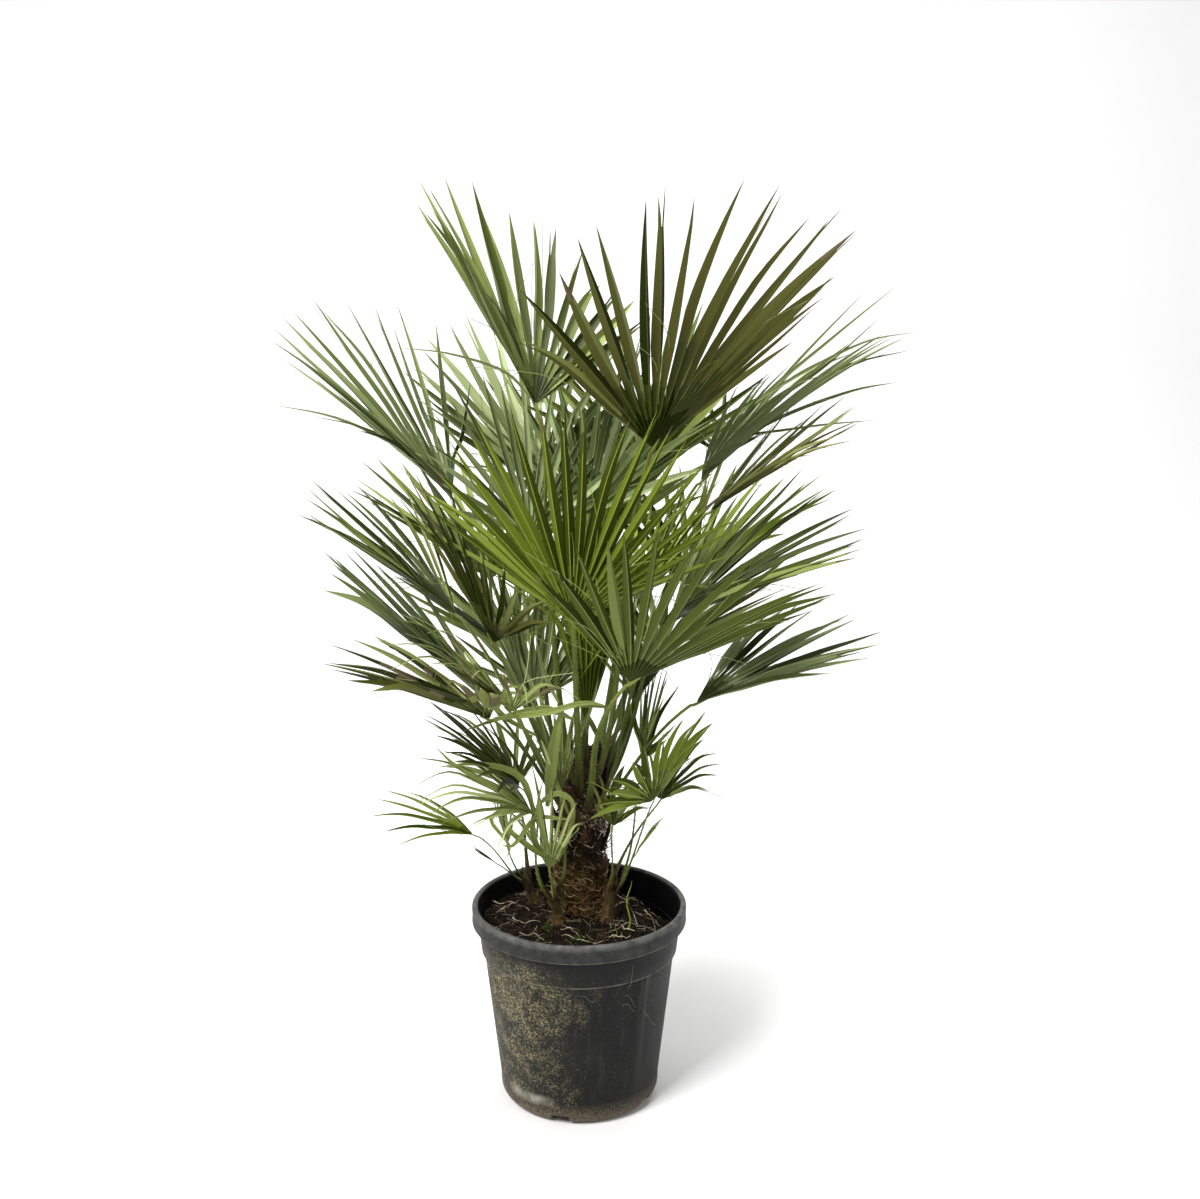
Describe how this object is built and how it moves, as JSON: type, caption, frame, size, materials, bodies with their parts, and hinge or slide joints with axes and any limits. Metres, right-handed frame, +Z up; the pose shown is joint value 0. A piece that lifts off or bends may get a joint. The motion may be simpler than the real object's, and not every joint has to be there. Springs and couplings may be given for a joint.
{
  "type": "potted european fan palm",
  "caption": "Young clumping fan palm with a short fibrous trunk, slender suckers and stiff divided fans, in a round nursery pot.",
  "frame": {"origin": "centre of the pot's flat underside", "axes": "+Z up along the pot's axis, -Y towards the plant's front, +X to its right as seen from the front"},
  "size_m": [1.0544, 1.0737, 1.6091],
  "materials": {
    "pot": "matt black moulded plastic with dust and algae",
    "compost": "dark moist compost",
    "trunk": "brown fibre and old leaf bases",
    "sucker": "brown to green sheath",
    "leaf_old": "dark green leaf",
    "leaf_mid": "green leaf",
    "leaf_bright": "bright green young leaf",
    "leaf_grey": "grey-green leaf with a waxy bloom",
    "leaf_pale": "pale green leaf"
  },
  "bodies": {
    "root": {"pot": "pot", "compost": "compost", "trunk": "trunk", "sucker_left": "sucker", "sucker_front": "sucker", "sucker_right": "sucker", "frond_left_low_front": "leaf_old", "frond_front_left_low": "leaf_pale", "frond_right_low": "leaf_grey", "frond_rear_low_left": "leaf_mid", "frond_rear_low_right": "leaf_old", "frond_left_lower": "leaf_grey", "frond_right_front": "leaf_mid", "frond_right_middle": "leaf_mid", "frond_left_outer": "leaf_mid", "frond_rear_left": "leaf_mid", "frond_rear_right": "leaf_bright", "frond_rear_middle": "leaf_mid", "frond_left_middle_front": "leaf_old", "frond_rear_right_upper": "leaf_mid", "frond_rear_left_upper": "leaf_grey", "frond_right_upper": "leaf_old", "frond_right_inner": "leaf_bright", "frond_left_upper": "leaf_grey", "frond_centre_front": "leaf_bright", "frond_right_rear_upper": "leaf_grey", "frond_left_rear": "leaf_grey", "frond_right_upper_front": "leaf_old", "frond_right_rear_small": "leaf_old", "frond_left_top": "leaf_mid", "frond_rear_upper": "leaf_grey", "frond_inner_left": "leaf_grey", "frond_inner_rear": "leaf_grey", "frond_inner_right": "leaf_mid", "frond_young": "leaf_bright", "frond_spear": "leaf_bright", "frond_small_left": "leaf_bright", "frond_bud_left": "leaf_old", "frond_folded_left": "leaf_mid", "frond_rear_sucker_left": "leaf_mid", "frond_pale_left": "leaf_pale", "frond_pale_front": "leaf_pale", "frond_dark_left": "leaf_old", "frond_pale_middle": "leaf_pale", "frond_sucker_fan": "leaf_bright", "frond_sucker_fan_rear": "leaf_mid", "frond_small_right": "leaf_bright", "frond_curled_right": "leaf_old", "frond_low_right": "leaf_mid"}
  },
  "joints": []
}
